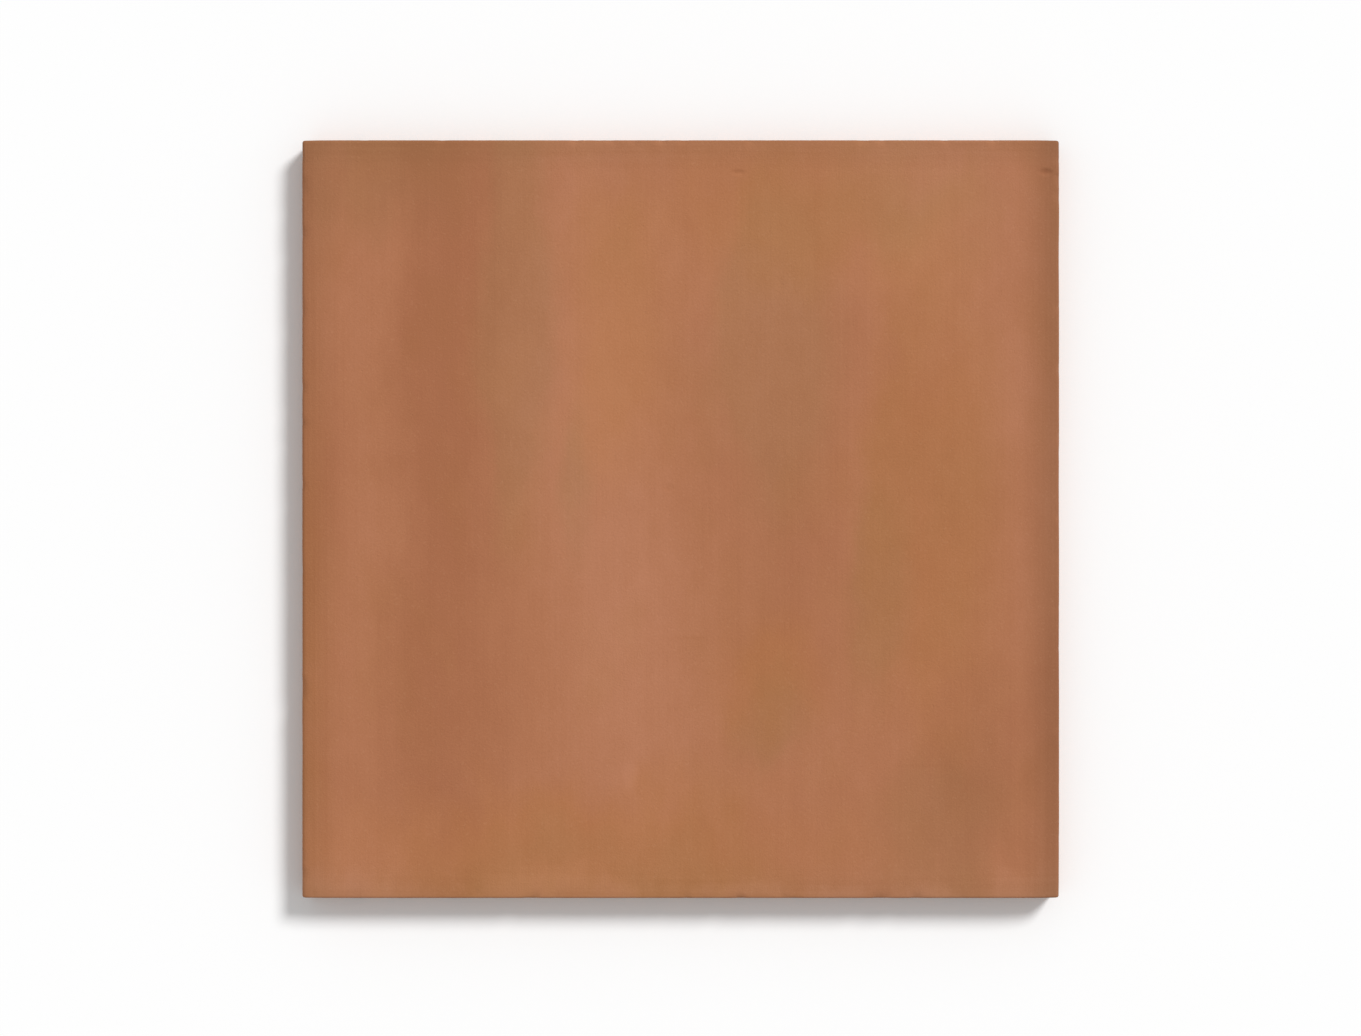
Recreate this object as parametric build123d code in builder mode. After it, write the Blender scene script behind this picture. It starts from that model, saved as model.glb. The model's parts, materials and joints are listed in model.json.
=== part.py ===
from build123d import *
import math
import os

# Terracotta floor tile, one piece of fired clay.
# A flat column of clay leaves a die, so one section gives the walking face with its rolled edges,
# the two long sides and the keyed bed. Wires then cut the column to length, which leaves the two
# ends upright, with their face edges softened only a little.
# X runs across the column, Y along it and Z up from the bed. The origin is the middle of the bed.

# Overall size, in millimetres
tile_width = 300.0  # across the column
tile_length = 300.0  # between the two cuts
tile_thickness = 15.0  # from the bed to the walking face
corner_bevel = 0.7  # knocked off the four upright corners

# Long sides, as the die forms them
side_roll_width = 14.0  # how far in from the side the face begins to fall away
side_roll_drop = 1.4  # how far it has fallen at the side
side_arris_radius = 1.5
joint_land = 6.0  # upright strip below the arris that faces the next tile
bed_setback = 1.2  # each side leans in by this much from the joint land to the bed
bed_arris_radius = 1.0

# Cut ends
end_roll_width = 8.0
end_roll_drop = 0.5
end_arris_radius = 0.8

# Keying grooves along the bed, wider at the root than at the mouth so that mortar locks in
groove_mouth = 8.0
groove_depth = 2.0
groove_lean = 20.0  # degrees that each flank leans under the bed
groove_root_radius = 0.7
groove_lip_radius = 0.4
groove_pitch = 20.0
outer_land = 14.0  # least width of plain bed kept outside the last groove on each side

groove_root = groove_mouth + 2 * groove_depth * math.tan(math.radians(groove_lean))
bed_width = tile_width - 2 * bed_setback
groove_room = bed_width - 2 * outer_land - groove_root
groove_count = int(groove_room // groove_pitch) + 1
overrun = 5.0  # how far tools run past the clay


def rolled_face(half_span, roll_width, roll_drop):
    # Half of the walking face in profile: flat from the middle, then one arc tangent to it.
    flat = Line((0, tile_thickness), (half_span - roll_width, tile_thickness))
    arc_end = (half_span, tile_thickness - roll_drop)
    return TangentArc(flat @ 1, arc_end, tangent=flat % 1)


# One groove in profile, mouth on the X axis
with BuildSketch() as groove:
    Trapezoid(groove_root, groove_depth, 90 + groove_lean, align=(Align.CENTER, Align.MIN))
    fillet(groove.vertices().group_by(Axis.Y)[-1], groove_root_radius)

with BuildPart() as floor_tile:
    # The die's section, pushed out as a column longer than the tile
    with BuildSketch(Plane.XZ) as die_section:
        with BuildLine():
            roll = rolled_face(tile_width / 2, side_roll_width, side_roll_drop)
            land = Line(roll @ 1, roll @ 1 - (0, joint_land))
            side = Line(land @ 1, (bed_width / 2, 0))
            Line(side @ 1, (0, 0))
            mirror(about=Plane.YZ)
        make_face()
        fillet(die_section.vertices().group_by(Axis.Y)[-2], side_arris_radius)
        fillet(die_section.vertices().group_by(Axis.Y)[0], bed_arris_radius)
        with GridLocations(groove_pitch, 0, groove_count, 1):
            add(groove.sketch, mode=Mode.SUBTRACT)
        lips = die_section.vertices().group_by(Axis.Y)[0].sort_by(Axis.X)[1:-1]
        fillet(lips, groove_lip_radius)
    extrude(amount=tile_length / 2 + overrun, both=True)

    # The two wire cuts, with the softened face edge at each end
    with BuildSketch(Plane.YZ) as cut_profile:
        with BuildLine():
            roll = rolled_face(tile_length / 2, end_roll_width, end_roll_drop)
            cut = Line(roll @ 1, (tile_length / 2, -overrun))
            Line(cut @ 1, (0, -overrun))
            mirror(about=Plane.YZ)
        make_face()
        fillet(cut_profile.vertices().group_by(Axis.Y)[-2], end_arris_radius)
    extrude(amount=tile_width / 2 + overrun, both=True, mode=Mode.INTERSECT)

    # The four upright corners, knocked back a little
    with BuildSketch(Plane.XY.offset(-overrun)) as plan:
        Rectangle(tile_width, tile_length)
        chamfer(plan.vertices(), corner_bevel)
    extrude(amount=tile_thickness + 2 * overrun, mode=Mode.INTERSECT)

floor_tile.part.label = "floor_tile"
os.makedirs("parts", exist_ok=True)
export_step(floor_tile.part, "parts/floor_tile.step")
print("floor_tile:", groove_count, "grooves,", round(floor_tile.part.volume), "mm3")
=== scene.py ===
import json
import math

import bmesh
import bpy
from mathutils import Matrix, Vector, noise

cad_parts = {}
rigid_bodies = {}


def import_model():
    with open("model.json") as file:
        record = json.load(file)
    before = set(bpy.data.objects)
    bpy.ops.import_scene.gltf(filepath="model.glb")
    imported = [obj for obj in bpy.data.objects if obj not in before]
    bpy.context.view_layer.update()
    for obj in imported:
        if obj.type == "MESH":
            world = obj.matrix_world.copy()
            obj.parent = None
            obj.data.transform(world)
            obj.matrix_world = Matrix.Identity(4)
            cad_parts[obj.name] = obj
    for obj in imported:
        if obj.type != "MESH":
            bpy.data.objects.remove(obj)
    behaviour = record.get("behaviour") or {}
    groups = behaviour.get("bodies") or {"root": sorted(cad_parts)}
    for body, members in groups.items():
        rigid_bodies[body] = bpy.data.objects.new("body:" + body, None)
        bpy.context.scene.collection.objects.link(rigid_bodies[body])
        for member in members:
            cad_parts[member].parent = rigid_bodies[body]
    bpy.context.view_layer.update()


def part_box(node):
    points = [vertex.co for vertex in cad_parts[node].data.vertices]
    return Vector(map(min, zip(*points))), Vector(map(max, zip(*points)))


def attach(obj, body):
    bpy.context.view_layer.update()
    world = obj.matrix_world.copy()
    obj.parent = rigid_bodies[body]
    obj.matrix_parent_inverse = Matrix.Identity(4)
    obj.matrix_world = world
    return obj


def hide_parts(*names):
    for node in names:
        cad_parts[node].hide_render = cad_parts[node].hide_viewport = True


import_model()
tileLow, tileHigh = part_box("floor_tile")
mm = 0.001
tileWidth, tileLength, tileThickness = [side / mm for side in tileHigh - tileLow]
print(f"frame loaded, the tile is {tileWidth:.0f} x {tileLength:.0f} x {tileThickness:.0f} mm")


def linearColour(code):
    # sRGB hex code to the linear values that a shader takes
    channels = [int(code[start : start + 2], 16) / 255 for start in (1, 3, 5)]
    return [c / 12.92 if c <= 0.04045 else ((c + 0.055) / 1.055) ** 2.4 for c in channels] + [1.0]


def smoothStep(low, high, value):
    # from 0 at low to 1 at high, easing in and out
    part = min(max((value - low) / (high - low), 0.0), 1.0)
    return part * part * (3 - 2 * part)


def addToScene(name, data):
    item = bpy.data.objects.new(name, data)
    bpy.context.scene.collection.objects.link(item)
    return item


def addMesh(name, bm):
    mesh = bpy.data.meshes.new(name)
    bm.to_mesh(mesh)
    bm.free()
    return addToScene(name, mesh)


# Camera straight above the walking face, the tile square in the frame. All in mm
cameraView = {
    "lens": 85.0,
    "sensor": 36.0,
    "nearest": 10.0,  # what is nearer to the lens isn't drawn
    "frameWidth": 538.3,  # across the frame at the walking face
    "middle": (-0.08, 0.45),  # what the middle of the frame looks at
}


def placeCamera():
    data = bpy.data.cameras.new("overheadCamera")
    data.lens = cameraView["lens"]
    data.sensor_width = cameraView["sensor"]
    data.clip_start = cameraView["nearest"] * mm
    camera = addToScene("overheadCamera", data)
    x, y = cameraView["middle"]
    reach = cameraView["frameWidth"] * cameraView["lens"] / cameraView["sensor"]
    camera.location = (x * mm, y * mm, (tileThickness + reach) * mm)
    bpy.context.scene.camera = camera


placeCamera()
print("camera placed")

# The fired clay, in mm: the die's opening, the wire cuts, how finely the mesh is cut, and then how
# the clay strays from that shape. A rounding is its radius and its segments
clayBody = {
    "sideArris": (1.5, 6),
    "sideRollWidth": 14.0,
    "sideRollDrop": 1.4,
    "jointLand": 6.0,  # upright strip along each long side, which leans in below it
    "bedSetback": 1.2,
    "bedArris": (1.0, 3),
    "grooveCount": 14,
    "groovePitch": 20.0,
    "grooveMouth": 8.0,
    "grooveDepth": 2.0,
    "grooveLean": 20.0,  # degrees
    "grooveRoot": (0.7, 3),
    "grooveLip": (0.4, 2),
    "endRollWidth": 8.0,
    "endRollDrop": 0.5,
    "endArris": (0.8, 4),
    "cutFoot": 2.4,  # below this height the edge of a cut stays sharp
    "cutBorder": 0.25,
    "cutCorners": 100,  # the flat of a cut is the only face with more corners than this
    "faceStep": 1.5,
    "sideStep": 5.0,
    "ringStep": 1.6,
    "sharpEdge": 40.0,  # degrees from which an edge is shaded sharp
    "waves": [  # of the walking face: how deep, and the distance over which it changes
        {"depth": 0.07, "across": 38.0, "along": 320.0, "seed": 3.1},  # dragged by the die
        {"depth": 0.025, "across": 9.0, "along": 240.0, "seed": 7.7},
        {"depth": 0.07, "across": 85.0, "along": 95.0, "seed": 12.4},  # warped in the kiln
    ],
    "edgeZone": (10.0, 1.0),  # how far in from an edge wander and wear start, and where they are full
    "wander": 0.2,  # the long sides, in from the die's line
    "wanderEvery": 24.0,
    "wanderEveryUp": 9.0,
    "wanderSeed": 40.0,  # plus on one side and minus on the other, so that each wanders by itself
    "wear": 0.15,  # rubbed down near the edges
    "wearEvery": 9.0,
    "nick": 0.7,  # small chips along the arrises
    "nickEvery": 4.6,
    "nickReach": 2.6,
    "nickLevels": (0.22, 0.55),  # of the noise, where a chip starts and where it is full
    "nickSeed": (50, 20, 0),
    "marks": [  # pressed into the walking face while the clay was soft
        {"at": (22.8, 137.0), "half": (3.6, 1.5), "depth": 0.22},
        {"at": (144.4, 137.4), "half": (3.6, 1.9), "depth": 0.45},
        {"at": (-4.8, 12.3), "half": (3.6, 2.2), "depth": 0.1},
        {"at": (39.8, 93.0), "half": (2.4, 4.4), "depth": 0.1},
    ],
    "markMesh": (2.2, 1.5),  # half sizes within which the mesh is cut finer, once and once more
    "markSkin": 0.5,  # and how far down from the walking face
}
landFoot = tileThickness - clayBody["sideRollDrop"] - clayBody["jointLand"]


def roundCorners(bm, corners, rounding):
    # on a bare corner a bevel wants the distance along its edges, not the radius
    radius, segments = clayBody[rounding]
    first, second = [edge.other_vert(corners[0]).co - corners[0].co for edge in corners[0].link_edges]
    reach = radius * mm / math.tan(first.angle(second) / 2)
    bmesh.ops.bevel(bm, geom=corners, offset=reach, offset_type="OFFSET", affect="VERTICES",
                    segments=segments, profile=0.5, material=-1)


def dieSection(bm):
    # the opening of the die, standing at the front end of the tile
    halfWidth, halfBed = tileWidth / 2, tileWidth / 2 - clayBody["bedSetback"]
    count, pitch = clayBody["grooveCount"], clayBody["groovePitch"]
    depth, halfMouth = clayBody["grooveDepth"], clayBody["grooveMouth"] / 2
    halfRoot = halfMouth + depth * math.tan(math.radians(clayBody["grooveLean"]))
    outline = [(-halfWidth, landFoot), (-halfBed, 0)]
    for number in range(count):
        middle = (number - (count - 1) / 2) * pitch
        outline += [(middle - halfMouth, 0), (middle - halfRoot, depth)]
        outline += [(middle + halfRoot, depth), (middle + halfMouth, 0)]
    outline += [(halfBed, 0), (halfWidth, landFoot)]
    outline += [(halfWidth, tileThickness), (-halfWidth, tileThickness)]
    bm.faces.new([bm.verts.new((x * mm, -tileLength / 2 * mm, z * mm)) for x, z in outline])
    hair = 0.01  # mm, for telling places apart

    def at(height, outer=0.0, inner=math.inf):
        level = [v for v in bm.verts if abs(v.co.z / mm - height) < hair]
        return [v for v in level if outer < abs(v.co.x / mm) < inner]

    roundCorners(bm, at(tileThickness), "sideArris")
    roundCorners(bm, at(depth), "grooveRoot")
    roundCorners(bm, at(0, outer=halfBed - hair), "bedArris")
    roundCorners(bm, at(0, inner=halfBed - pitch / 2), "grooveLip")
    for edge in bm.edges[:]:
        isFace = all(v.co.z / mm > tileThickness - hair for v in edge.verts)
        step = clayBody["faceStep"] if isFace else clayBody["sideStep"]
        cuts = int(edge.calc_length() / mm / step)
        if cuts:
            bmesh.ops.subdivide_edges(bm, edges=[edge], cuts=cuts)


def extrudeColumn(bm):
    # the die's section drawn along the tile, capped by the two cuts
    rings = round(tileLength / clayBody["ringStep"])
    bmesh.ops.spin(bm, geom=bm.verts[:] + bm.edges[:] + bm.faces[:], cent=(0, 0, 0), axis=(0, 1, 0),
                   dvec=(0, tileLength / rings * mm, 0), angle=0, steps=rings, use_duplicate=False)
    bmesh.ops.recalc_face_normals(bm, faces=bm.faces)


def cutFaces(bm):
    return [face for face in bm.faces if len(face.verts) > clayBody["cutCorners"]]


def softenCuts(bm):
    # the edge of each cut, rounded but for its foot, and a narrow border that keeps the cut flat
    radius, segments = clayBody["endArris"]
    edges = [edge for face in cutFaces(bm) for edge in face.edges]
    rim = [edge for edge in edges if min(v.co.z for v in edge.verts) / mm > clayBody["cutFoot"]]
    bmesh.ops.bevel(bm, geom=rim, offset=radius * mm, offset_type="OFFSET", affect="EDGES",
                    segments=segments, profile=0.5, material=-1)
    bmesh.ops.inset_region(bm, faces=cutFaces(bm), thickness=clayBody["cutBorder"] * mm,
                           use_even_offset=True)


def markDistance(mark, x, y):
    # from the middle of a mark, counted in its half sizes
    return math.hypot((x - mark["at"][0]) / mark["half"][0], (y - mark["at"][1]) / mark["half"][1])


def refineMarks(bm):
    # twice as fine a mesh round each mark, twice over
    lowest = tileThickness - clayBody["markSkin"]
    for reach in clayBody["markMesh"]:
        near = []
        for mark in clayBody["marks"]:
            for edge in bm.edges:
                x, y, z = (edge.verts[0].co + edge.verts[1].co) / 2 / mm
                if z > lowest and markDistance(mark, x, y) < reach:
                    near.append(edge)
        bmesh.ops.subdivide_edges(bm, edges=near, cuts=1, use_grid_fill=True)


def rollDrop(distance, halfSpan, width, drop):
    # how far the face has fallen away at this distance from the middle
    return drop * max((distance - (halfSpan - width)) / width, 0.0) ** 2


def settle(bm):
    # the rolls, the waves, the worn arrises and the marks, each as a small move of the mesh inwards
    halfWidth, halfLength = tileWidth / 2, tileLength / 2
    zoneStart, zoneFull = clayBody["edgeZone"]
    falls = {}
    for v in bm.verts:
        place = v.co / mm
        x, y, z = place
        atSide = smoothStep(halfWidth - zoneStart, halfWidth - zoneFull, abs(x))
        atEnd = smoothStep(halfLength - zoneStart, halfLength - zoneFull, abs(y))
        fall = rollDrop(abs(x), halfWidth, clayBody["sideRollWidth"], clayBody["sideRollDrop"])
        fall += rollDrop(abs(y), halfLength, clayBody["endRollWidth"], clayBody["endRollDrop"])
        for wave in clayBody["waves"]:
            spot = Vector((x / wave["across"], y / wave["along"], wave["seed"]))
            fall -= wave["depth"] * noise.noise(spot)
        worn = max(noise.noise(place / clayBody["wearEvery"]), 0.0)
        fall += clayBody["wear"] * worn * max(atSide, atEnd)
        arris = max(abs(x) - halfWidth, abs(y) - halfLength)
        chip = noise.noise(place / clayBody["nickEvery"] + Vector(clayBody["nickSeed"]))
        chip = smoothStep(*clayBody["nickLevels"], chip) * smoothStep(-clayBody["nickReach"], 0, arris)
        fall += clayBody["nick"] * chip
        for mark in clayBody["marks"]:
            fall += mark["depth"] * max(1 - markDistance(mark, x, y) ** 2, 0.0) ** 2
        falls[v] = fall
        seed = math.copysign(clayBody["wanderSeed"], x)
        drift = noise.noise(Vector((y / clayBody["wanderEvery"], z / clayBody["wanderEveryUp"], seed)))
        v.co.x -= math.copysign(clayBody["wander"] * max(drift, 0.0) * atSide, x) * mm
    highest = min(falls.values())  # so that the highest wave keeps the CAD's height
    landTop = tileThickness - clayBody["sideArris"][0]
    for v, fall in falls.items():
        atFace = smoothStep(landFoot, landTop, v.co.z / mm)
        v.co.z -= (fall - highest) * atFace * mm


def shadeEdges(bm):
    # smooth all over but at the sharp edges, with nothing larger left than a quad
    for face in bm.faces:
        face.smooth = True
    for edge in bm.edges:
        edge.smooth = edge.calc_face_angle(0.0) < math.radians(clayBody["sharpEdge"])
    bmesh.ops.triangulate(bm, faces=[face for face in bm.faces if len(face.verts) > 4])


def makeTerracottaBody():
    bm = bmesh.new()
    dieSection(bm)
    extrudeColumn(bm)
    softenCuts(bm)
    refineMarks(bm)
    settle(bm)
    shadeEdges(bm)
    return addMesh("terracotta_body", bm)


body = makeTerracottaBody()
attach(body, "root")
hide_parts("floor_tile")
triangles = sum(len(face.vertices) - 2 for face in body.data.polygons)
print("clay body:", len(body.data.vertices), "points,", triangles, "triangles")

# Unglazed extruded terracotta: iron-rich clay fired to a matt, slightly sandy skin. The die draws soft
# streaks along it, the kiln drifts it to ochre and buff in patches, and the edges are darker: partly
# kiln flash, partly painted shade that evens out how the key light falls on the rolled edges.
# Places and sizes are in mm. A patch is its middle, its half size and its strength. A grain is a
# noise: its size across, along and up, its detail, how far it swings, and where, if not all over
terracotta = {
    "darkClay": "#A46847",
    "bodyClay": "#AD714F",
    "paleClay": "#B67A5A",
    "shade": [
        (-94, 55, 34, 430, -0.56), (-126, 10, 16, 150, 0.10),  # streaks that the die drew
        (-32, 46, 44, 165, 0.48), (-18, -78, 44, 120, 0.32),
        (98, 122, 56, 66, 0.48), (26, 108, 66, 56, 0.24), (122, 58, 34, 60, 0.24),  # broad drifts
        (48, -24, 40, 76, -0.28), (116, -102, 44, 58, -0.42), (-98, -142, 98, 46, 0.28),
        # darker along parts of the left and right edges and at the back left corner
        (-143, 8, 22, 84, -0.26), (-134, 146, 56, 42, -0.20), (152, -72, 22, 74, -0.32),
        # painted highlight along the front edge, lifting the front roll where it turns away from the
        # key light
        (0, -153, 420, 12, 0.36),
    ],
    "marks": [  # small ones, which keep their place
        (22.8, 137.8, 4.2, 1.5, -0.26), (144.6, 137.6, 4.4, 1.8, -0.5), (-4.8, 12.3, 4, 2.4, -0.12),
        (39.8, 93, 2.6, 5, -0.10), (-20, -102, 4.4, 9, 0.42), (3, -47, 14, 1.2, -0.14),
        (97, -97.4, 17, 1.2, -0.10),
    ],
    "shadeGrains": [
        {"size": (2.6, 150, 2.6), "detail": 2.0, "swing": 0.10},  # lines and bands that the die drew
        {"size": (9, 220, 9), "detail": 2.0, "swing": 0.16},
        {"size": (42, 60, 42), "detail": 2.0, "swing": 0.34},  # clouds and mottling from the fire
        {"size": (8, 14, 8), "detail": 2.0, "swing": 0.38},
        {"size": (0.8, 0.8, 0.8), "detail": 2.0, "swing": 0.42},  # sand, coarser than real to show
        {"size": (1.3, 260, 1.3), "detail": 2.0, "swing": 0.5, "where": "sideRims"},  # rubbed lines
        {"size": (60, 1.8, 60), "detail": 2.0, "swing": 0.5, "where": "endRims"},
        {"size": (1.6, 110, 1.6), "detail": 2.0, "swing": 0.9, "where": "offFace"},  # scored by the die
        {"size": (2.4, 2.4, 17), "detail": 3.0, "swing": 1.3, "where": "cuts"},  # torn by the wire
    ],
    "masks": {  # where each starts and is full: mm from the middle, or how squarely the skin faces
        "sideRims": (134, 147),
        "endRims": (134, 147),
        "offFace": (0.9, 0.6),
        "bed": (-0.3, -0.8),
        "cuts": (0.5, 0.9),
    },
    "patchHeight": 1000.0,  # half size up and down, so that a patch goes right through the tile
    "strayEvery": (24.0, 43.2, 24.0),  # the edges of the patches wander
    "strayReach": (26.0, 52.0, 0.0),
    "strayDetail": 3.0,
    "ochreTint": "#F7FEFA",
    "ochre": [
        (-65, 84, 20, 130, 1.9), (-42, 16, 10, 44, 1.1), (38, 66, 34, 96, 1.9), (79, -26, 16, 66, 1.3),
        (38, -80, 24, 26, 1.2), (106, -116, 40, 52, 1.2), (-122, 142, 72, 48, 1.0),
        (106, 20, 40, 110, 0.5), (88, 124, 60, 34, 1.0), (-36, -136, 120, 26, 0.7),
    ],
    "buffTint": "#FEFCEA",
    "buff": [
        (-26, 66, 38, 84, 1.2), (46, 118, 108, 48, 1.1), (100, 12, 42, 152, 1.5),
        (38, -64, 32, 34, 1.0), (-44, -134, 152, 46, 1.4), (-152, -40, 20, 180, 1.0),
    ],
    "driftGrain": {"size": (24, 40, 24), "detail": 2.0, "swing": 1.2},
    # partly kiln flash and partly painted shade: the tints also even out how the key light falls on the
    # rolled edges, the right one darkest
    "edgeFlashAndShade": [  # darker towards each edge: where that starts, and where it would be full
        {"axis": "X", "from": -131, "full": -153, "tint": "#F6F8F5"},
        {"axis": "X", "from": 132, "full": 153, "tint": "#D7D9D6"},
        {"axis": "Y", "from": 136, "full": 153, "tint": "#EEF2EE"},
        {"axis": "Y", "from": -132, "full": -153, "tint": "#F7FEFB"},
    ],
    "cutTint": "#EDE8E4",
    "gritColour": "#D3A27F",  # grog, the crushed fired clay that is mixed in
    "grit": {"size": (1.1, 1.1, 1.1), "detail": 1.0, "from": 0.64, "full": 0.74},
    "gritShows": (0.06, 0.42),  # through the die's skin, and on the cuts
    "dustColour": "#BC9980",
    "dust": 0.35,
    "dustGrain": {"size": (7, 40, 7), "detail": 3.0, "swing": 1.6},
    "sand": {"size": (0.7, 0.7, 0.7), "detail": 2.0, "swing": 0.1},  # relief in mm, coarser than real
    "dragLines": {"size": (1.4, 90, 1.4), "detail": 2.0, "swing": 0.22},
    "pores": {"size": (1.7, 2.6, 1.7), "detail": 2.0, "from": 0.67, "full": 0.78},  # coarser too
    "poreDepth": 0.15,
    "pressed": 0.3,  # share of the lines and pores that the die leaves on the walking face
    "torn": [  # relief of the cuts
        {"size": (1.3, 1.3, 13), "detail": 3.0, "swing": 0.6},
        {"size": (0.8, 0.8, 0.8), "detail": 2.0, "swing": 0.28},
    ],
    "roughness": 0.84,
    "roughnessGrain": {"size": (12, 40, 12), "detail": 3.0, "swing": 0.12},
    "ior": 1.5,
    "specular": 0.25,
}


def addNode(tree, kind, settings, inputs):
    # one node with its settings; an input takes a value, an output, or a node for its first output
    node = tree.nodes.new(kind)
    for name, value in settings.items():
        setattr(node, name, value)
    for name, value in inputs.items():
        if isinstance(value, bpy.types.Node):
            value = value.outputs[0]
        if isinstance(value, bpy.types.NodeSocket):
            tree.links.new(value, node.inputs[name])
        else:
            node.inputs[name].default_value = value
    return node


def readSurface(tree):
    # where the point is, in mm, and masks from 0 to 1 for the parts of the surface
    coordinates = addNode(tree, "ShaderNodeTexCoord", {}, {})
    place = addNode(tree, "ShaderNodeVectorMath", {"operation": "SCALE"},
                    {0: coordinates.outputs["Object"], "Scale": 1 / mm})
    along = addNode(tree, "ShaderNodeSeparateXYZ", {}, {0: place}).outputs
    facing = addNode(tree, "ShaderNodeSeparateXYZ", {}, {0: coordinates.outputs["Normal"]}).outputs
    measures = {"offFace": facing["Z"], "bed": facing["Z"]}
    for name, signed in (("sideRims", along["X"]), ("endRims", along["Y"]), ("cuts", facing["Y"])):
        measures[name] = addNode(tree, "ShaderNodeMath", {"operation": "ABSOLUTE"}, {0: signed})
    surface = {"place": place, "along": along}
    for name, measure in measures.items():
        start, full = terracotta["masks"][name]
        surface[name] = addNode(tree, "ShaderNodeMapRange", {"interpolation_type": "SMOOTHSTEP"},
                                {"Value": measure, "From Min": start, "From Max": full})

    # the same place led astray, so that patches get wandering edges
    stretched = addNode(tree, "ShaderNodeMapping", {"vector_type": "TEXTURE"},
                        {"Vector": place, "Scale": terracotta["strayEvery"]})
    stray = addNode(tree, "ShaderNodeTexNoise", {},
                    {"Vector": stretched, "Scale": 1.0, "Detail": terracotta["strayDetail"]})
    centred = addNode(tree, "ShaderNodeVectorMath", {"operation": "SUBTRACT"},
                      {0: stray.outputs["Color"], 1: (0.5, 0.5, 0.5)})
    surface["astray"] = addNode(tree, "ShaderNodeVectorMath", {"operation": "MULTIPLY_ADD"},
                                {0: centred, 1: terracotta["strayReach"], 2: place})
    return surface


def addPatches(tree, place, patches, total):
    # soft patches, each full in its middle and gone at its half size
    for x, y, halfX, halfY, strength in patches:
        half = (halfX, halfY, terracotta["patchHeight"])
        inside = addNode(tree, "ShaderNodeMapping", {"vector_type": "TEXTURE"},
                         {"Vector": place, "Location": (x, y, 0), "Scale": half})
        nearness = addNode(tree, "ShaderNodeTexGradient", {"gradient_type": "SPHERICAL"},
                           {"Vector": inside})
        softened = addNode(tree, "ShaderNodeMapRange", {"interpolation_type": "SMOOTHSTEP"},
                           {"Value": nearness.outputs["Fac"]})
        total = addNode(tree, "ShaderNodeMath", {"operation": "MULTIPLY_ADD"},
                        {0: softened, 1: strength, 2: total})
    return total


def addGrain(tree, surface, grain, total):
    # a noise that swings both ways round the total
    stretched = addNode(tree, "ShaderNodeMapping", {"vector_type": "TEXTURE"},
                        {"Vector": surface["place"], "Scale": grain["size"]})
    pattern = addNode(tree, "ShaderNodeTexNoise", {},
                      {"Vector": stretched, "Scale": 1.0, "Detail": grain["detail"]})
    swing = addNode(tree, "ShaderNodeMath", {"operation": "SUBTRACT"}, {0: pattern, 1: 0.5})
    if "where" in grain:
        swing = addNode(tree, "ShaderNodeMath", {"operation": "MULTIPLY"},
                        {0: swing, 1: surface[grain["where"]]})
    return addNode(tree, "ShaderNodeMath", {"operation": "MULTIPLY_ADD"},
                   {0: swing, 1: grain["swing"], 2: total})


def addFlecks(tree, surface, flecks):
    # scattered spots where a noise is high
    stretched = addNode(tree, "ShaderNodeMapping", {"vector_type": "TEXTURE"},
                        {"Vector": surface["place"], "Scale": flecks["size"]})
    pattern = addNode(tree, "ShaderNodeTexNoise", {},
                      {"Vector": stretched, "Scale": 1.0, "Detail": flecks["detail"]})
    return addNode(tree, "ShaderNodeMapRange", {"interpolation_type": "SMOOTHSTEP"},
                   {"Value": pattern, "From Min": flecks["from"], "From Max": flecks["full"]})


def mixClay(tree, surface):
    # from dark to pale clay, with its plain colour half way
    shade = addPatches(tree, surface["astray"], terracotta["shade"], 0.5)
    shade = addPatches(tree, surface["place"], terracotta["marks"], shade)
    for grain in terracotta["shadeGrains"]:
        shade = addGrain(tree, surface, grain, shade)
    ramp = addNode(tree, "ShaderNodeValToRGB", {}, {"Fac": shade})
    stops = ramp.color_ramp.elements
    stops.new(0.5)
    for stop, clayColour in zip(stops, ("darkClay", "bodyClay", "paleClay")):
        stop.color = linearColour(terracotta[clayColour])
    return ramp


def tintClay(tree, surface, colour):
    # each layer is how much of it there is, its colour and how it goes on
    layers = []
    for drift in ("ochre", "buff"):
        amount = addPatches(tree, surface["astray"], terracotta[drift], 0.0)
        amount = addGrain(tree, surface, terracotta["driftGrain"], amount)
        layers.append((amount, terracotta[drift + "Tint"], "MULTIPLY"))
    # edges darker, partly kiln flash and partly painted shade against the key light on the rolls
    for edge in terracotta["edgeFlashAndShade"]:
        amount = addNode(tree, "ShaderNodeMapRange", {"interpolation_type": "SMOOTHSTEP"},
                         {"Value": surface["along"][edge["axis"]], "From Min": edge["from"],
                          "From Max": edge["full"]})
        layers.append((amount, edge["tint"], "MULTIPLY"))

    # the two wire cuts are a little darker and show the grit in the clay, which the die's skin hides
    layers.append((surface["cuts"], terracotta["cutTint"], "MULTIPLY"))
    throughSkin, onCuts = terracotta["gritShows"]
    showing = addNode(tree, "ShaderNodeMapRange", {},
                      {"Value": surface["cuts"], "To Min": throughSkin, "To Max": onCuts})
    grit = addNode(tree, "ShaderNodeMath", {"operation": "MULTIPLY"},
                   {0: addFlecks(tree, surface, terracotta["grit"]), 1: showing})
    layers.append((grit, terracotta["gritColour"], "MIX"))

    # the bed is dusty from the kiln's shelf
    dust = addGrain(tree, surface, terracotta["dustGrain"], terracotta["dust"])
    dust = addNode(tree, "ShaderNodeMath", {"operation": "MULTIPLY"}, {0: dust, 1: surface["bed"]})
    layers.append((dust, terracotta["dustColour"], "MIX"))

    # a Mix node's colours are its inputs 6 and 7 and its output 2, and it clamps the amount
    for amount, tint, blend in layers:
        mix = addNode(tree, "ShaderNodeMix", {"data_type": "RGBA", "blend_type": blend},
                      {0: amount, 6: colour, 7: linearColour(tint)})
        colour = mix.outputs[2]
    return colour


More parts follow.
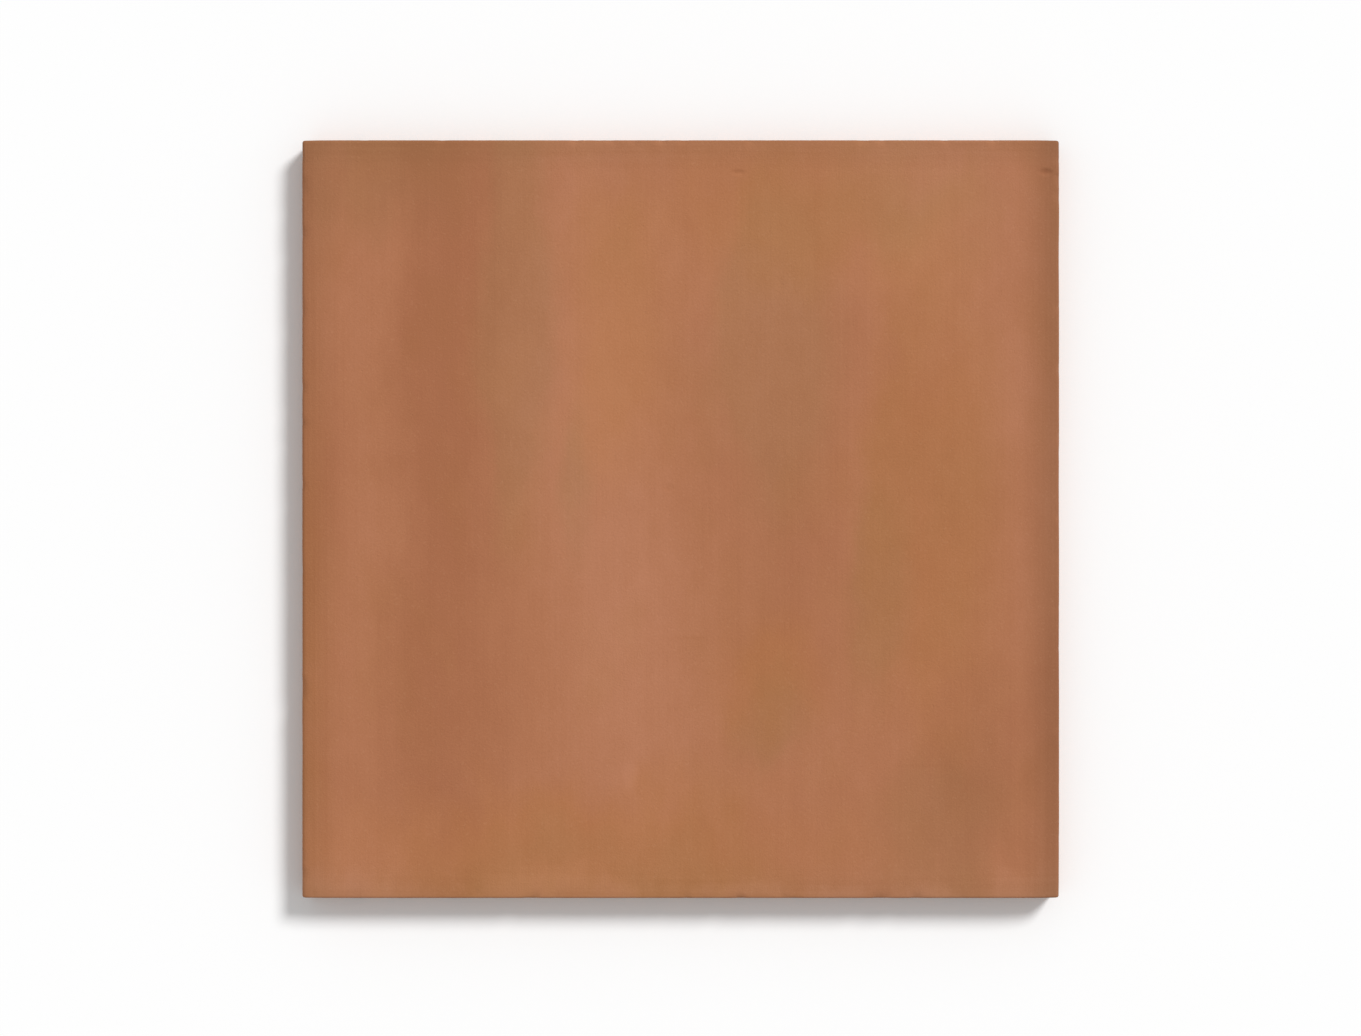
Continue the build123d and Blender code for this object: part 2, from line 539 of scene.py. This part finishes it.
def raiseSkin(tree, surface):
    # the height of the relief in mm: sand, drag lines and open pores, and torn strokes on the cuts
    sand = addGrain(tree, surface, terracotta["sand"], 0.0)
    lines = addGrain(tree, surface, terracotta["dragLines"], 0.0)
    pores = addFlecks(tree, surface, terracotta["pores"])
    lines = addNode(tree, "ShaderNodeMath", {"operation": "MULTIPLY_ADD"},
                    {0: pores, 1: -terracotta["poreDepth"], 2: lines})
    share = addNode(tree, "ShaderNodeMapRange", {},
                    {"Value": surface["offFace"], "To Min": terracotta["pressed"], "To Max": 1.0})
    skin = addNode(tree, "ShaderNodeMath", {"operation": "MULTIPLY_ADD"}, {0: lines, 1: share, 2: sand})
    torn = 0.0
    for grain in terracotta["torn"]:
        torn = addGrain(tree, surface, grain, torn)
    return addNode(tree, "ShaderNodeMix", {"data_type": "FLOAT"},
                   {"Factor": surface["cuts"], "A": skin, "B": torn})


def makeTerracotta():
    clay = bpy.data.materials.new("terracotta")
    clay.use_nodes = True
    tree = clay.node_tree
    surface = readSurface(tree)
    colour = tintClay(tree, surface, mixClay(tree, surface))
    bump = addNode(tree, "ShaderNodeBump", {},
                   {"Strength": 1.0, "Distance": mm, "Height": raiseSkin(tree, surface)})
    roughness = addGrain(tree, surface, terracotta["roughnessGrain"], terracotta["roughness"])
    shader = tree.nodes["Principled BSDF"]
    tree.links.new(colour, shader.inputs["Base Color"])
    tree.links.new(bump.outputs["Normal"], shader.inputs["Normal"])
    tree.links.new(roughness.outputs[0], shader.inputs["Roughness"])
    shader.inputs["IOR"].default_value = terracotta["ior"]
    shader.inputs["Specular IOR Level"].default_value = terracotta["specular"]
    return clay


body.data.materials.append(makeTerracotta())
print("terracotta made")

# White floor, key light from the upper right and an even sky
studio = {
    "floorColour": "#FEFEFE",
    "floorSpan": 6000.0,  # mm
    "keyFrom": (0.78, 0.8),  # how far the light leans, across and along, for each unit down
    "keyStrength": 2.36,
    "keyAngle": 17.0,  # degrees, as from a soft box
    "skyStrength": 0.5,
}


def makeFloor():
    bm = bmesh.new()
    bmesh.ops.create_grid(bm, x_segments=1, y_segments=1, size=studio["floorSpan"] / 2 * mm)
    floor = addMesh("floor", bm)

    # matt white paint, with no gloss, so that nothing is mirrored in it
    white = bpy.data.materials.new("mattWhitePaint")
    white.use_nodes = True
    shader = white.node_tree.nodes["Principled BSDF"]
    shader.inputs["Base Color"].default_value = linearColour(studio["floorColour"])
    shader.inputs["Roughness"].default_value = 1.0
    shader.inputs["Specular IOR Level"].default_value = 0.0
    floor.data.materials.append(white)


def makeKeyLight():
    data = bpy.data.lights.new("keyLight", "SUN")
    data.energy = studio["keyStrength"]
    data.angle = math.radians(studio["keyAngle"])
    across, along = studio["keyFrom"]
    key = addToScene("keyLight", data)
    key.rotation_euler = Vector((across, along, 1)).to_track_quat("Z", "Y").to_euler()


def makeSky():
    # lights the tile at its own strength, and is plain white where it is seen past the floor
    world = bpy.data.worlds.new("studioWorld")
    world.use_nodes = True
    tree = world.node_tree
    ray = addNode(tree, "ShaderNodeLightPath", {}, {}).outputs
    seen = addNode(tree, "ShaderNodeMath", {"operation": "ADD"},
                   {0: ray["Is Camera Ray"], 1: ray["Is Glossy Ray"]})
    seen = addNode(tree, "ShaderNodeMath", {"operation": "ADD", "use_clamp": True},
                   {0: seen, 1: ray["Is Transmission Ray"]})
    strength = addNode(tree, "ShaderNodeMapRange", {},
                       {"Value": seen, "To Min": studio["skyStrength"], "To Max": 1.0})
    background = tree.nodes["Background"]
    background.inputs["Color"].default_value = (1, 1, 1, 1)
    tree.links.new(strength.outputs[0], background.inputs["Strength"])
    bpy.context.scene.world = world


makeFloor()
makeKeyLight()
makeSky()
bpy.context.scene.view_settings.view_transform = "Standard"
print("floor and lights set")
